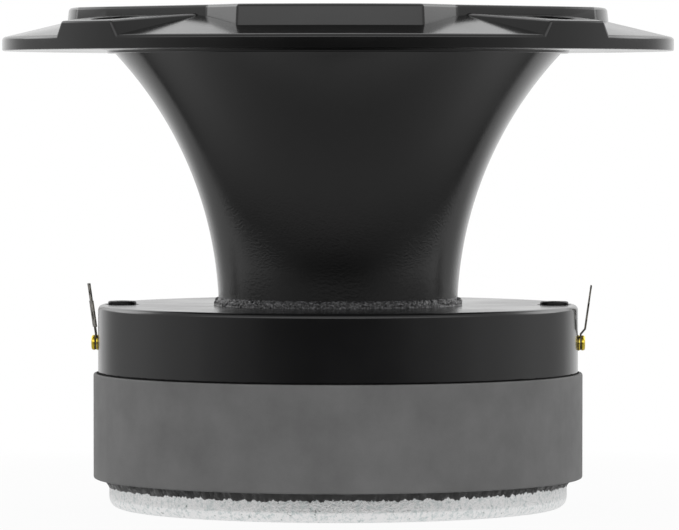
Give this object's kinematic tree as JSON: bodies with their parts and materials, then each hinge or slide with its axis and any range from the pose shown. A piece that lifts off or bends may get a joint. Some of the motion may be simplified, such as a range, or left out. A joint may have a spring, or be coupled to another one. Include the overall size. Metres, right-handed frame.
{
  "type": "horn tweeter",
  "caption": "Compression-driver horn tweeter for a car: ferrite ring magnet, black cast flared horn, round flange with raised screw pads, side solder lugs.",
  "frame": {"origin": "centre of the back plate's underside, on the horn's axis", "axes": "+Z along the horn's axis, out of the mouth; the solder lugs stand on +X and -X; the pictured front is -Y"},
  "size_m": [0.137, 0.137, 0.1018],
  "materials": {
    "zinc_plated_steel": "satin",
    "ferrite": "matte",
    "black_adhesive": "matte",
    "black_casting": "satin",
    "grey_filler": "matte",
    "black_plug": "satin",
    "titanium_foil": "satin",
    "polyimide_film": "gloss",
    "enamelled_wire": "gloss",
    "polyester_film": "satin",
    "white_plastic": "matte",
    "bare_aluminium": "satin",
    "foam_rubber": "matte",
    "felt": "matte",
    "blackened_steel": "satin",
    "brass": "polished",
    "tinned_brass": "satin",
    "phenolic": "matte"
  },
  "bodies": {
    "driver": {"back_yoke": "zinc_plated_steel", "magnet_ring": "ferrite", "lower_adhesive": "black_adhesive", "upper_adhesive": "black_adhesive", "top_plate": "zinc_plated_steel", "front_cap": "black_casting", "horn": "black_casting", "neck_bead": "grey_filler", "phase_plug": "black_plug", "surround": "polyester_film", "diaphragm_ring": "white_plastic", "clamp_ring": "bare_aluminium", "chamber_gasket": "foam_rubber", "damping_pad": "felt", "diaphragm_screws": "blackened_steel", "locating_pins": "brass", "lead_wires": "enamelled_wire", "terminal_left": "tinned_brass", "terminal_right": "tinned_brass", "terminal_rivets": "brass", "terminal_bushes": "phenolic", "cap_screws": "blackened_steel"},
    "diaphragm": {"diaphragm_dome": "titanium_foil", "coil_former": "polyimide_film", "voice_coil": "enamelled_wire"}
  },
  "joints": [
    {"name": "diaphragm_travel", "type": "slide", "parent": "driver", "child": "diaphragm", "axis": [0, 0, 1], "range_m": [-0.00035, 0.00035], "stiffness_N_per_m": 1500, "deforming": ["surround", "lead_wires"]}
  ]
}
